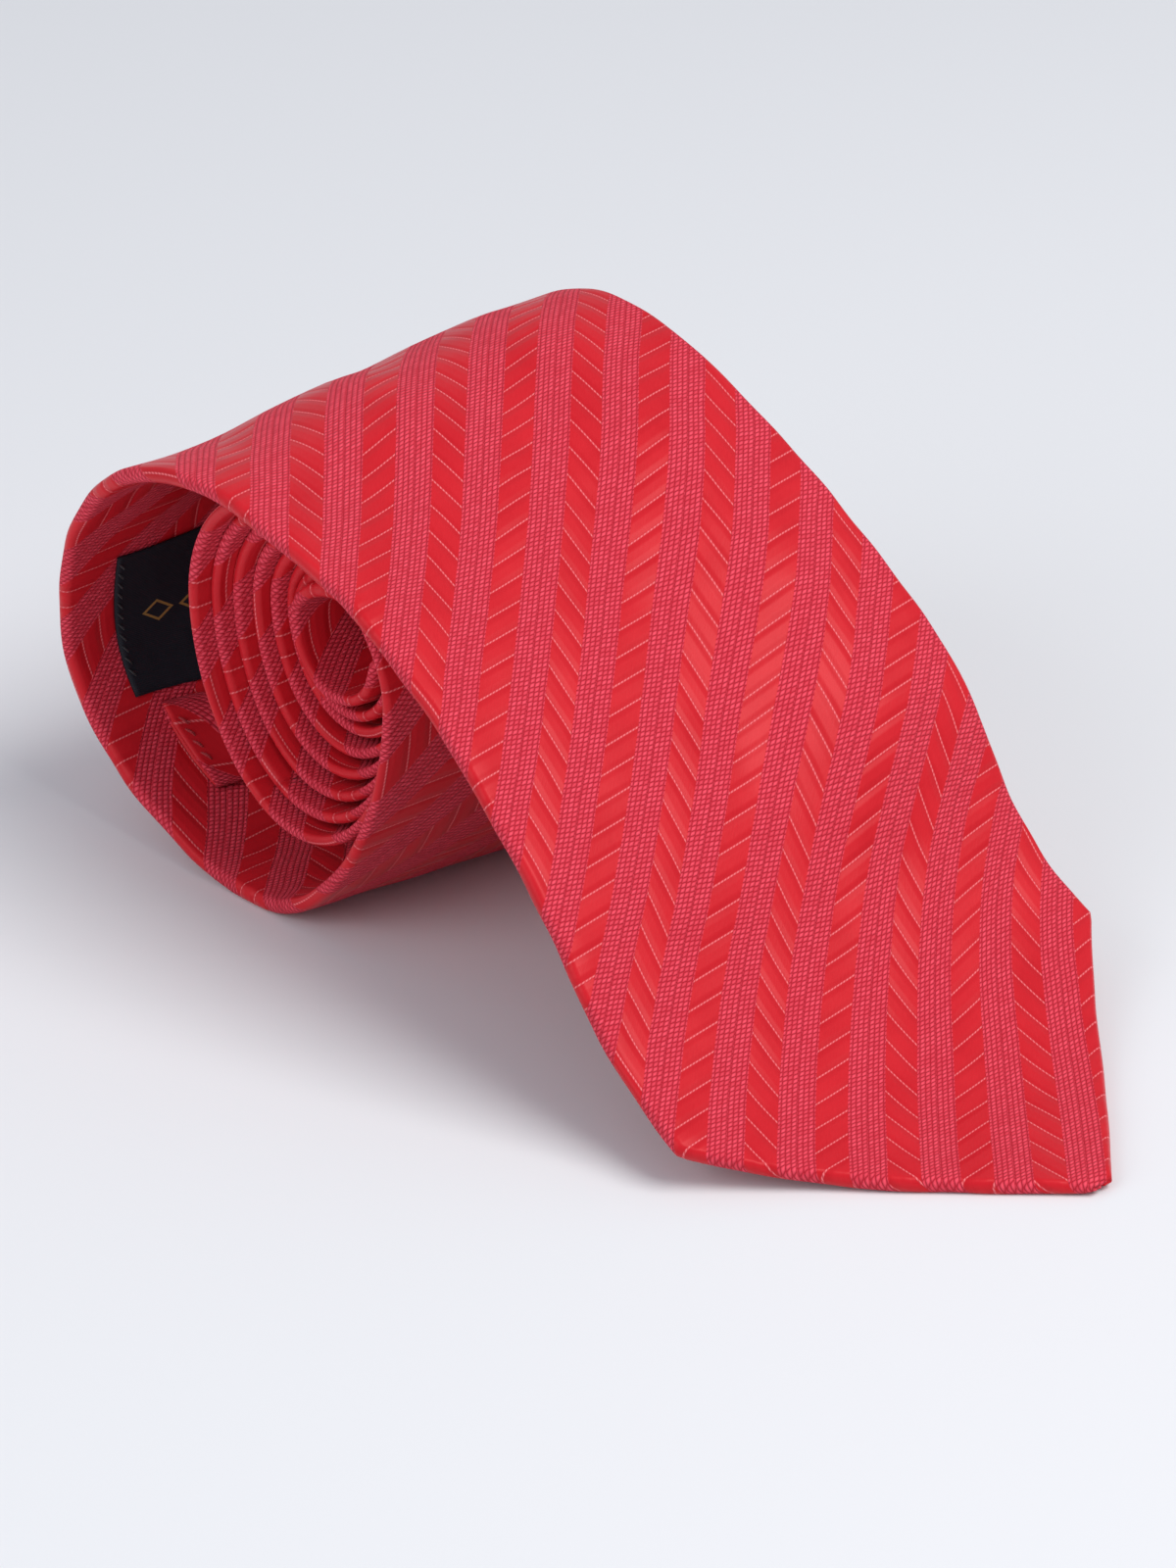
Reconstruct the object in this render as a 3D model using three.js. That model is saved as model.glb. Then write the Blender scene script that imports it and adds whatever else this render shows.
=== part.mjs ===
// Rolled necktie.  Millimetres, +Z up, the blade drapes toward +X, the roll axis lies along Y.
// Every piece is a slab in tie coordinates (s along the tie from the blade's point, y across it,
// n through it, positive on the face side) carried onto one rolled profile in the X-Z plane.
import * as THREE from "three";

// ---- overall sizes of the tie ----
const BLADE_WIDTH = 87;          // widest, at the two corners of the blade's point
const NECK_WIDTH = 34;           // narrowest
const TAIL_WIDTH = 40;           // at the corners of the tail's point
const TAPER = 0.052;             // width lost per mm going up the blade
const TAIL_LENGTH = 170;         // length over which the tail widens again
const POINT_BLUNT = 2.4;         // width left at the very end of each point
const THICK_FREE = 2.2;          // whole thickness of the hanging blade
const THICK_ROLLED = 1.4;        // whole thickness where the turns press together
const PRESS_START = 292;
const PRESS_END = 335;

// ---- the rolled profile: arcs [length, turn in degrees] from the steepest line inward ----
const SHOULDER_ARCS = [[30, 11.4], [35, 8.6], [25, 18.1]];
const CREST_ARCS = [[25, 40.5], [30, 47.4]];
const BACK_ARCS = [[30, 48.6], [30, 39.3], [8.5, 16.8]];
const REST_LENGTH = 5;           // flat strip the roll stands on
const FRONT_ARCS = [[15.5, 42.6], [27, 30], [17, 17.4]];
const FOOT_RADIUS = 56;          // bend where the blade runs out on the table
const FOOT_FLAT = 20;            // flat length behind the blade's point
const TURNS = 8.4;               // turns of the inner coil
const COIL_HALF_WIDTH = 23.5;    // of the first inner turn
const COIL_TOP = 18;             // centre of the coil to its top
const COIL_BOTTOM = 34;          // centre of the coil to its bottom
const PITCH_SIDE = 1.8;          // shrink per turn
const PITCH_TOP = 1.75;
const PITCH_BOTTOM = 3.1;
const COIL_STEPS = 18;           // facets per inner turn
const ARC_STEP_DEG = 17;         // largest bend of one facet on the arcs
const ARC_STEP_LENGTH = 13;      // longest facet on the arcs
const CREST_SKEW = 0.1;          // X gained per mm of Y past the crest
const COIL_SKEW = 0.19;          // and past the strip the roll stands on
const CREST_SPAN = 46;           // lengths over which the skew grows
const REST_SPAN = 38;
const DRIFT = -0.0088;           // sideways wander of the coil per mm rolled

// ---- cloth layers ----
const SHELL = 0.32;              // folded face fabric
const LAYER_GAP = 0.12;
const TIPPING = 0.16;
const GROOVE = 1.0;              // gap between the two back flaps
const HEM = 9;                   // width folded under at the point
const V_END = 160;               // where the back flaps meet
const TAIL_V_LENGTH = 42;
const POINT_S = 0.6;             // where the shell starts and ends, just inside each point
const LINING_START = 6;
const TIPPING_LENGTH = 100;
const FOLD_MARGIN = 0.2;         // least width of a back flap beside its fold
const HINGE_S = 112;             // end of the part that lifts
const BLADE_SEAM = 590;
const TAIL_SEAM = 880;
const SEAM_GAP = 0.3;

// ---- small parts on the back ----
const LABEL_S = [220.5, 249];
const LABEL_HALF = 30;
const LABEL_THICK = 0.4;
const LOOP_S = [251, 267];
const LOOP_HALF = 26.5;
const LOOP_THICK = 1.1;
const BACK_GAP = 0.3;
const TACK_LENGTH = 9;
const TACK_WIDTH = 1.6;
const TACK_THICK = 0.6;
const STITCH_WIDTH = 0.7;
const STITCH_THICK = 0.3;
const STITCH_INSET = 1.6;
const LABEL_STITCH_MARGIN = 1;   // a stitch bar stops this short of the label's sides
const LOOP_TACK_MARGIN = 2;
const THREAD = 0.4;
const THREAD_PROUD = 0.02;
const SLIP_FROM_TACK = 8;        // bare length between the bar tack and the slip stitch
const SLIP_TO_LABEL = 3;
const STATION_GAP = 0.4;         // a facet line nearer than this to an end is left out

const RAD = Math.PI / 180;
const lerp = (a, b, t) => a + (b - a) * t;
const clamp01 = (t) => Math.min(1, Math.max(0, t));
const smooth = (t) => clamp01(t) ** 2 * (3 - 2 * clamp01(t));

// ---------------- profile ----------------
function addArcs(path, arcs) {
  for (const [length, turn] of arcs) {
    const steps = Math.max(1, Math.ceil(Math.max(Math.abs(turn) / ARC_STEP_DEG,
      length / ARC_STEP_LENGTH)));
    for (let i = 0; i < steps; i++) {
      const last = path[path.length - 1];
      const half = last.h + (turn / steps / 2) * RAD;
      const k = turn / steps / 2 * RAD;
      const chord = (length / steps) * (k ? Math.sin(k) / k : 1);
      path.push({
        x: last.x + chord * Math.cos(half),
        z: last.z + chord * Math.sin(half),
        h: last.h + (turn / steps) * RAD,
      });
    }
  }
}

function buildProfile() {
  const upper = [...SHOULDER_ARCS, ...CREST_ARCS, ...BACK_ARCS];
  const bend = upper.reduce((sum, arc) => sum + arc[1], 0);
  const steep = 360 - bend;
  const footTurn = 180 - steep;
  // the straight between foot and shoulder has the length that lands the point on the table
  const probe = [{ x: 0, z: 0, h: steep * RAD }];
  addArcs(probe, upper);
  const drop = -probe[probe.length - 1].z;
  const footRise = FOOT_RADIUS * (1 - Math.cos(footTurn * RAD));
  const straight = (drop - footRise) / Math.sin(steep * RAD);
  const cornerLength = BLADE_WIDTH / 2 - FOOT_FLAT;
  const cornerTurn = cornerLength / FOOT_RADIUS / RAD;
  const path = [{ x: 0, z: THICK_FREE / 2, h: Math.PI }];
  addArcs(path, [
    [FOOT_FLAT, 0],
    [cornerLength, -cornerTurn],
    [FOOT_RADIUS * (footTurn - cornerTurn) * RAD, cornerTurn - footTurn],
    [straight, 0],
    ...upper,
    [REST_LENGTH, 0],
    ...FRONT_ARCS,
  ]);
  const start = path[path.length - 1];
  const cx = start.x - COIL_HALF_WIDTH;
  const total = Math.round(TURNS * COIL_STEPS);
  for (let i = 1; i <= total; i++) {
    const n = i / COIL_STEPS;
    const angle = 2 * Math.PI * n;
    const side = COIL_HALF_WIDTH - PITCH_SIDE * n;
    const up = Math.sin(angle) >= 0 ? COIL_TOP - PITCH_TOP * n : COIL_BOTTOM - PITCH_BOTTOM * n;
    path.push({ x: cx + side * Math.cos(angle), z: start.z + up * Math.sin(angle) });
  }
  let s = 0;
  path.forEach((p, i) => {
    if (i) s += Math.hypot(p.x - path[i - 1].x, p.z - path[i - 1].z);
    p.s = s;
  });
  path.forEach((p, i) => {
    const a = path[Math.max(0, i - 1)];
    const b = path[Math.min(path.length - 1, i + 1)];
    const la = Math.hypot(p.x - a.x, p.z - a.z) || 1;
    const lb = Math.hypot(b.x - p.x, b.z - p.z) || 1;
    const tx = (p.x - a.x) / la + (b.x - p.x) / lb;
    const tz = (p.z - a.z) / la + (b.z - p.z) / lb;
    const l = Math.hypot(tx, tz);
    const miter = i && i < path.length - 1 ? 2 / l : 1;
    p.nx = (tz / l) * miter;
    p.nz = (-tx / l) * miter;
  });
  return path;
}

const PATH = buildProfile();
const END_S = PATH[PATH.length - 1].s;
const COIL_S = PATH[PATH.length - 1 - Math.round(TURNS * COIL_STEPS)].s;

function at(s) {
  let i = 1;
  while (i < PATH.length - 1 && PATH[i].s < s) i++;
  const a = PATH[i - 1];
  const b = PATH[i];
  const t = (s - a.s) / (b.s - a.s);
  return {
    s,
    x: lerp(a.x, b.x, t),
    z: lerp(a.z, b.z, t),
    nx: lerp(a.nx, b.nx, t),
    nz: lerp(a.nz, b.nz, t),
  };
}

// the skew grows only where the cloth faces straight up or down, so that no facet is twisted
const CREST_S = PATH.reduce((top, p) => (p.z > top.z ? p : top)).s;
const REST_S = COIL_S - FRONT_ARCS.reduce((sum, arc) => sum + arc[0], 0) - REST_LENGTH / 2;
const grow = (s, middle, span) => smooth((s - middle) / span + 0.5);
const skew = (s) => CREST_SKEW * grow(s, CREST_S, CREST_SPAN)
  + (COIL_SKEW - CREST_SKEW) * grow(s, REST_S, REST_SPAN);
const drift = (s) => DRIFT * Math.max(0, s - COIL_S);

function place(station, y, n) {
  const across = y + drift(station.s);
  return [
    station.x + skew(station.s) * across + station.nx * n,
    across,
    station.z + station.nz * n,
  ];
}

// ---------------- cross-section ----------------
const thick = (s) => lerp(THICK_FREE, THICK_ROLLED, smooth((s - PRESS_START) / (PRESS_END - PRESS_START)));

function halfWidth(s) {
  const blade = BLADE_WIDTH - TAPER * (s - BLADE_WIDTH / 2);
  const tail = NECK_WIDTH + (TAIL_WIDTH - NECK_WIDTH) * clamp01((s - END_S + TAIL_LENGTH)
    / (TAIL_LENGTH - TAIL_WIDTH / 2));
  const body = Math.max(NECK_WIDTH, blade, tail);
  const frontPoint = 2 * s + POINT_BLUNT;
  const backPoint = 2 * (END_S - s) + POINT_BLUNT;
  return Math.min(body, frontPoint, backPoint) / 2;
}

function flapEdge(s) {
  const fromTail = END_S - s;
  const blade = (V_END - s) * ((BLADE_WIDTH / 2 - HEM) / (V_END - BLADE_WIDTH / 2));
  const tail = (TAIL_V_LENGTH - fromTail) * ((TAIL_WIDTH / 2 - HEM) / (TAIL_V_LENGTH - TAIL_WIDTH / 2));
  const hem = halfWidth(s) - HEM;
  return Math.max(GROOVE / 2, Math.min(Math.max(blade, tail), hem));
}

function shellSection(s) {
  const w = halfWidth(s);
  const half = thick(s) / 2;
  const round = Math.min(half, w / 2);
  const inner = half - SHELL;
  const g = Math.min(flapEdge(s), w - round - FOLD_MARGIN);
  const wi = w - SHELL;
  return [
    [-g, -half], [-w + round, -half], [-w, 0], [-w + round, half],
    [w - round, half], [w, 0], [w - round, -half], [g, -half],
    [g, -inner], [w - round, -inner], [wi, 0], [w - round, inner],
    [-w + round, inner], [-wi, 0], [-w + round, -inner], [-g, -inner],
  ];
}

function stations(s0, s1) {
  const inside = PATH.filter((p) => p.s > s0 + STATION_GAP && p.s < s1 - STATION_GAP);
  return [at(s0), ...inside, at(s1)];
}

// ---------------- bodies ----------------
function closedMesh(name, vertices, faces, color, roughness) {
  let volume = 0;
  for (const [a, b, c] of faces) {
    const [p, q, r] = [vertices[a], vertices[b], vertices[c]];
    volume += p[0] * (q[1] * r[2] - q[2] * r[1]) + p[1] * (q[2] * r[0] - q[0] * r[2])
      + p[2] * (q[0] * r[1] - q[1] * r[0]);
  }
  const index = faces.flatMap(([a, b, c]) => (volume > 0 ? [a, b, c] : [a, c, b]));
  const geometry = new THREE.BufferGeometry();
  geometry.setAttribute("position", new THREE.Float32BufferAttribute(vertices.flat(), 3));
  geometry.setIndex(index);
  geometry.computeVertexNormals();
  const material = new THREE.MeshStandardMaterial({ color, roughness, metalness: 0 });
  const mesh = new THREE.Mesh(geometry, material);
  mesh.name = name;
  return mesh;
}

function loft(name, rows, section, color, roughness) {
  const rings = rows.map((row) => section(row.s));
  const count = rings[0].length;
  const vertices = rows.flatMap((row, i) => rings[i].map(([y, n]) => place(row, y, n)));
  const faces = [];
  for (let i = 0; i < rows.length - 1; i++) {
    for (let j = 0; j < count; j++) {
      const k = (j + 1) % count;
      const [a, b, c, d] = [i * count + j, i * count + k, (i + 1) * count + k, (i + 1) * count + j];
      // every layer splits its quads along the same diagonal, so that thin gaps stay open
      if (rings[i][k][0] > rings[i][j][0]) faces.push([a, b, c], [a, c, d]);
      else faces.push([a, b, d], [b, c, d]);
    }
  }
  const cap = (ring, base, flip) => {
    const flat = ring.map(([y, n]) => new THREE.Vector2(y, n));
    for (const [a, b, c] of THREE.ShapeUtils.triangulateShape(flat, [])) {
      faces.push(flip ? [base + a, base + c, base + b] : [base + a, base + b, base + c]);
    }
  };
  const ccw = THREE.ShapeUtils.area(rings[0].map(([y, n]) => new THREE.Vector2(y, n))) > 0;
  cap(rings[0], 0, ccw);
  cap(rings[rings.length - 1], (rows.length - 1) * count, !ccw);
  return closedMesh(name, vertices, faces, color, roughness);
}

const box = (y0, y1, n0, n1) => [[y0, n0], [y1, n0], [y1, n1], [y0, n1]];

const group = new THREE.Group();
const add = (...args) => group.add(loft(...args));

const RED = 0xb5182a;
const RED_DARK = 0x8e1524;
const CREAM = 0xd9cfbd;
const BLACK = 0x15151a;
const GOLD = 0x9a7a3a;

add("blade_shell_free", stations(POINT_S, HINGE_S - SEAM_GAP / 2), shellSection, RED, 0.5);
add("blade_shell_rolled", stations(HINGE_S + SEAM_GAP / 2, BLADE_SEAM - SEAM_GAP / 2),
  shellSection, RED, 0.5);
add("neck_shell", stations(BLADE_SEAM + SEAM_GAP / 2, TAIL_SEAM - SEAM_GAP / 2), shellSection,
  RED, 0.5);
add("tail_shell", stations(TAIL_SEAM + SEAM_GAP / 2, END_S - POINT_S), shellSection, RED, 0.5);

// interlining fills the upper part of the hollow, the tipping lies between it and the flaps
const topOf = (s) => thick(s) / 2 - SHELL - LAYER_GAP;
const lowOf = (s) => -thick(s) / 2 + SHELL + LAYER_GAP;
const padBottom = (s) => lowOf(s) + TIPPING + LAYER_GAP;
const padHalf = (s) => halfWidth(s) - SHELL - thick(s) / 2 - LAYER_GAP;
const padSection = (s) => box(-padHalf(s), padHalf(s), padBottom(s), topOf(s));
const tippingSection = (s) => box(-padHalf(s), padHalf(s), lowOf(s), lowOf(s) + TIPPING);
add("interlining_free", stations(LINING_START, HINGE_S - SEAM_GAP / 2), padSection, CREAM, 0.95);
add("interlining_rolled", stations(HINGE_S + SEAM_GAP / 2, BLADE_SEAM - SEAM_GAP / 2),
  padSection, CREAM, 0.95);
add("interlining_tail", stations(BLADE_SEAM + SEAM_GAP / 2, END_S - LINING_START), padSection,
  CREAM, 0.95);
add("blade_tipping", stations(LINING_START, TIPPING_LENGTH), tippingSection, RED_DARK, 0.6);
add("tail_tipping", stations(END_S - TAIL_V_LENGTH, END_S - LINING_START), tippingSection,
  RED_DARK, 0.6);

// strip lying on the back face
const strip = (half, gap, depth) => (s) => box(-half, half, -thick(s) / 2 - gap - depth,
  -thick(s) / 2 - gap);
const bar = (y, width, gap, depth) => (s) => box(y - width / 2, y + width / 2,
  -thick(s) / 2 - gap - depth, -thick(s) / 2 - gap);
const onLabel = BACK_GAP + LABEL_THICK + BACK_GAP / 2;
const onLoop = BACK_GAP + LOOP_THICK + BACK_GAP / 2;
add("keeper_label", stations(...LABEL_S), strip(LABEL_HALF, BACK_GAP, LABEL_THICK), BLACK, 0.7);
add("keeper_loop", stations(...LOOP_S), strip(LOOP_HALF, BACK_GAP, LOOP_THICK), RED, 0.5);
for (const [side, name] of [[-1, "near"], [1, "far"]]) {
  add(`label_stitch_${name}`, stations(LABEL_S[0] + LABEL_STITCH_MARGIN, LABEL_S[1] - LABEL_STITCH_MARGIN),
    bar(side * (LABEL_HALF - STITCH_INSET), STITCH_WIDTH, onLabel, STITCH_THICK), GOLD, 0.7);
  add(`loop_tack_${name}`, stations(LOOP_S[0] + LOOP_TACK_MARGIN, LOOP_S[1] - LOOP_TACK_MARGIN),
    bar(side * (LOOP_HALF - STITCH_INSET), STITCH_WIDTH, onLoop, STITCH_THICK), RED_DARK, 0.8);
}
const tack = (s0) => box(-TACK_LENGTH / 2, TACK_LENGTH / 2, -thick(s0) / 2 - BACK_GAP - TACK_THICK,
  -thick(s0) / 2 - BACK_GAP);
const TAIL_TACK_S = END_S - TAIL_V_LENGTH;
add("blade_bar_tack", stations(V_END, V_END + TACK_WIDTH), tack, RED_DARK, 0.8);
add("tail_bar_tack", stations(TAIL_TACK_S - TACK_WIDTH, TAIL_TACK_S), tack, RED_DARK, 0.8);
const threadSection = (s) => box(-THREAD / 2, THREAD / 2, -thick(s) / 2 - THREAD_PROUD,
  -thick(s) / 2 + SHELL);
add("slip_stitch", stations(V_END + SLIP_FROM_TACK, LABEL_S[0] - SLIP_TO_LABEL), threadSection,
  RED_DARK, 0.8);

const bounds = new THREE.Box3().setFromObject(group);
const middle = bounds.getCenter(new THREE.Vector3());
for (const mesh of group.children) {
  mesh.geometry.translate(-middle.x, -middle.y, -bounds.min.z);
}

export default group;
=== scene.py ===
"""A rolled necktie: the wide blade hangs off the crest of its own roll and runs out on the table.

Every piece is worked out in tie coordinates, in millimetres: s along the tie from the blade's
point, y across it, n through it (positive towards the face), and carried onto one rolled profile.
"""

import bpy
import numpy as np
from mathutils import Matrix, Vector


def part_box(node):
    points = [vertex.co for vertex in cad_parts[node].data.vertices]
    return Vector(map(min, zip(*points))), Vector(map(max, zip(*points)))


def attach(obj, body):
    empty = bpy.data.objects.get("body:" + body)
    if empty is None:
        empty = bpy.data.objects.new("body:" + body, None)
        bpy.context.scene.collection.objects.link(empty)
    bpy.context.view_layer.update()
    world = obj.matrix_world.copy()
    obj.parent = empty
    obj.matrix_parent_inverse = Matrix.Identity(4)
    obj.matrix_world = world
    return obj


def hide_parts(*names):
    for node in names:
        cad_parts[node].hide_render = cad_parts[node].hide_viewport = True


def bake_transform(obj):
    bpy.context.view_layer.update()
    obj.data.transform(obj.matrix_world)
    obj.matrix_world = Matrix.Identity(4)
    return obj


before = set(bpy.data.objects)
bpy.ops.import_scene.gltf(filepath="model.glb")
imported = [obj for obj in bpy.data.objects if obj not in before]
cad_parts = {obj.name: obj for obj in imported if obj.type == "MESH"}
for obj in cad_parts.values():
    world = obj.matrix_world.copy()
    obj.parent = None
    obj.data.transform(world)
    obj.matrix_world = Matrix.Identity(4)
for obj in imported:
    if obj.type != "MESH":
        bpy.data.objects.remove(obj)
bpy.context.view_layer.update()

MM = 0.001                       # every length below is in millimetres

# ---- camera ----
VIEW_TARGET = (15.8, -28.5, 45.8)
VIEW_DISTANCE = 849
VIEW_AZIMUTH = np.radians(47.2)  # from the front (-Y) towards +X
VIEW_ELEVATION = np.radians(29.1)
VIEW_LENS = 135
VIEW_SENSOR = 36

view_back = Vector((
    np.sin(VIEW_AZIMUTH) * np.cos(VIEW_ELEVATION),
    -np.cos(VIEW_AZIMUTH) * np.cos(VIEW_ELEVATION),
    np.sin(VIEW_ELEVATION),
))
camera_data = bpy.data.cameras.new("camera")
camera_data.sensor_fit = "VERTICAL"
camera_data.sensor_height = VIEW_SENSOR
camera_data.lens = VIEW_LENS
camera = bpy.data.objects.new("camera", camera_data)
camera.location = (Vector(VIEW_TARGET) + view_back * VIEW_DISTANCE) * MM
camera.rotation_euler = view_back.to_track_quat("Z", "Y").to_euler()
bpy.context.scene.collection.objects.link(camera)
bpy.context.scene.camera = camera
bpy.context.scene.view_settings.view_transform = "Standard"

# ---- the tie's flat shape ----
BLADE_WIDTH = 87.0               # widest, at the corners of the blade's point
NECK_WIDTH = 34.0
TAIL_WIDTH = 40.0
TAPER = 0.052                    # width lost per millimetre going up the blade
TAIL_LENGTH = 170.0              # length over which the tail widens again
POINT_BLUNT = 2.4                # width left at the very end of each point
POINT_START = 0.6
POINT_ROUND = 3.0                # length over which the cloth closes at a point
POINT_THICK = 0.55
HEM = 9.0                        # width folded under at a point
GROOVE = 0.7                     # gap between the two back flaps
BLADE_V_END = 160.0              # where the blade's back flaps meet
TAIL_V_LENGTH = 42.0
BLADE_SEAM = 590.0
TAIL_SEAM = 880.0

# ---- thickness ----
THICK_FREE = 2.3
THICK_ROLLED = 1.5
PRESS_START = 292.0
PRESS_END = 335.0
CLOTH = 0.32                     # the face cloth alone
EDGE_SWELL = 0.12                # how much thicker the tie is beside its folded edges
EDGE_SWELL_REACH = 7.0

# ---- the rolled profile: arcs (length, turn in degrees) from the steepest line inward ----
SHOULDER_ARCS = ((30, 11.4), (35, 8.6), (25, 18.1))
CREST_ARCS = ((25, 40.5), (30, 47.4))
BACK_ARCS = ((30, 48.6), (30, 39.3), (8.5, 16.8))
REST_LENGTH = 5.0                # flat strip that the roll stands on
FRONT_ARCS = ((15.5, 42.6), (27, 30), (17, 17.4))
FOOT_RADIUS = 56.0               # bend where the blade runs out on the table
FOOT_FLAT = 20.0                 # flat length behind the point
TURNS = 8.4
COIL_HALF_WIDTH = 23.5
COIL_TOP = 18.0
COIL_BOTTOM = 34.0
PITCH_SIDE = 1.8                 # shrink per turn
PITCH_TOP = 1.75
PITCH_BOTTOM = 3.1
PROFILE_STEP = 0.25
COIL_SAMPLES = 240               # per turn
CREST_SKEW = 0.1                 # X gained per millimetre of Y past the crest
COIL_SKEW = 0.19                 # and past the strip the roll stands on
CREST_SPAN = 46.0
REST_SPAN = 38.0
DRIFT = -0.0088                  # sideways wander of the coil per millimetre rolled

# ---- how the roll sags away from an even cylinder ----
SAG_REACH = 28.0                 # from the middle to where a side has its whole sag
NEAR_DROOP = 4.7
DROOP_FROM_Z = 20.0
DROOP_OVER_Z = 50.0
DROOP_BACK_X = -46.8
DROOP_OVER_X = 45.0
FAR_RISE = 3.1
RISE_FROM_Z = 5.0
RISE_OVER_Z = 40.0
RISE_FRONT_X = 44.0
RISE_OVER_X = 40.0
FOOT_END_S = 110.0
FOOT_OVER_S = 60.0
NEAR_CORNER_LIFT = 0.9
FAR_CORNER_LIFT = 3.3
FAR_CORNER_PULL = 3.0            # how far the far corner hangs back towards the roll
CORNER_PULL_END_S = 78.0
CORNER_PULL_OVER_S = 36.0
COIL_JOIN = 45.0                 # length before the coil over which the droop ends
COIL_RISE = 6.0                  # the coil springs up under the crest at its near end
COIL_RISE_FROM_Z = 42.0
COIL_RISE_OVER_Z = 22.0
COIL_RISE_BACK_X = -42.0
COIL_RISE_OVER_X = 22.0
BELLY = 1.5
BELLY_X = -60.0
BELLY_OVER_X = 20.0
LOW_BELLY = 2.6                  # the near side also bulges low down, just over the table
LOW_BELLY_RISE_Z = 10.0
LOW_BELLY_TOP_Z = 22.0
LOW_BELLY_OVER_Z = 24.0
FAR_BULGE = 3.2                  # the far edge stands out between the crest and the foot
BULGE_FROM_S = 66.0
BULGE_RISE_S = 26.0
BULGE_TO_S = 104.0
BULGE_OVER_S = 60.0
BULGE_LIFT = 0.5                 # upward share of the bulge
FOOT_SPREAD = 0.022              # how much wider the blade lies once flat on the table

# ---- unevenness of the cloth ----
RIPPLE_LENGTHS = (9.0, 13.0, 19.0, 29.0)
FACE_RIPPLE = 0.16
FLAP_RIPPLE = 0.55               # the back flaps lie looser
EDGE_RIPPLE = 0.35
HELD_REACH = 10.0                # the label and the band hold the flaps flat this far round them
HELD_CALM = 0.75
COIL_CALM = 0.12                 # share of the unevenness that is left in the pressed coil
FLAP_SINK = 0.35                 # keeps most of the flaps' waves on the inner side
NARROW = 0.5                     # unevenness fades out where the tie is narrower than this many hems
FLAP_MARGIN = 0.1                # least width of a back flap beside its fold
FACE_SEED, FLAP_SEED, EDGE_SEED = 3, 5, 7

# ---- parts on the back ----
LABEL_S = (220.5, 249.0)
LABEL_HALF = 30.0
LABEL_THICK = 0.35
BAND_S = (251.0, 267.0)
BAND_HALF = 26.5
BAND_THICK = 1.1
BACK_GAP = 0.3
TACK_LENGTH = 9.0
STITCH_INSET = 1.6


def blend_step(t):
    """Smooth step: 3t^2 - 2t^3 of t held between 0 and 1."""
    t = np.clip(t, 0, 1)
    return t * t * (3 - 2 * t)


def rolled_profile():
    """Columns s, x, z of the tie's middle line.

    The heading turns evenly along each arc, so it is a straight line in s between the arcs' ends,
    and x and z are the running sums of its cosine and sine.  The coil is an ellipse whose half
    axes shrink in step with the turns, wider below its centre than above.
    """
    upper = SHOULDER_ARCS + CREST_ARCS + BACK_ARCS
    steep = 360 - sum(turn for _, turn in upper)
    foot_turn = 180 - steep
    lengths, turns = np.array(upper).T
    drop = heading_path(lengths, turns, steep)[-1, 2]
    foot_rise = FOOT_RADIUS * (1 - np.cos(np.radians(foot_turn)))
    straight = (-drop - foot_rise) / np.sin(np.radians(steep))
    foot = (FOOT_FLAT, 0), (FOOT_RADIUS * np.radians(foot_turn), -foot_turn), (straight, 0)
    arcs = foot + upper + ((REST_LENGTH, 0),) + FRONT_ARCS
    lengths, turns = np.array(arcs).T
    outer = heading_path(lengths, turns, 180)
    outer[:, 2] += THICK_FREE / 2

    turn = np.linspace(0, TURNS, int(TURNS * COIL_SAMPLES))[1:]
    angle = 2 * np.pi * turn
    wide = COIL_HALF_WIDTH - PITCH_SIDE * turn
    high = np.where(
        np.sin(angle) >= 0,
        COIL_TOP - PITCH_TOP * turn,
        COIL_BOTTOM - PITCH_BOTTOM * turn,
    )
    coil_x = outer[-1, 1] - COIL_HALF_WIDTH + wide * np.cos(angle)
    coil_z = outer[-1, 2] + high * np.sin(angle)
    x = np.concatenate([outer[:, 1], coil_x])
    z = np.concatenate([outer[:, 2], coil_z])
    s = np.concatenate([[0], np.cumsum(np.hypot(np.diff(x), np.diff(z)))])
    return np.stack([s, x, z], 1), outer[-1, 0]


def heading_path(lengths, turns, start):
    """Columns s, x, z of a line whose heading, in degrees, turns evenly along each length."""
    ends = np.concatenate([[0], np.cumsum(lengths)])
    headings = start + np.concatenate([[0], np.cumsum(turns)])
    s = np.linspace(0, ends[-1], int(ends[-1] / PROFILE_STEP) + 1)
    middle = (s[1:] + s[:-1]) / 2
    heading = np.radians(np.interp(middle, ends, headings))
    step = np.diff(s)
    x = np.concatenate([[0], np.cumsum(step * np.cos(heading))])
    z = np.concatenate([[0], np.cumsum(step * np.sin(heading))])
    return np.stack([s, x, z], 1)


PROFILE, COIL_S = rolled_profile()
END_S = PROFILE[-1, 0]
PROFILE[:, 1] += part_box("blade_shell_free")[1].x / MM + POINT_START
TANGENT = np.gradient(PROFILE[:, 1:], PROFILE[:, 0], axis=0)
TANGENT /= np.linalg.norm(TANGENT, axis=1)[:, None]
CREST_S = PROFILE[PROFILE[:, 2].argmax(), 0]
REST_S = COIL_S - sum(length for length, _ in FRONT_ARCS) - REST_LENGTH / 2


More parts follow.
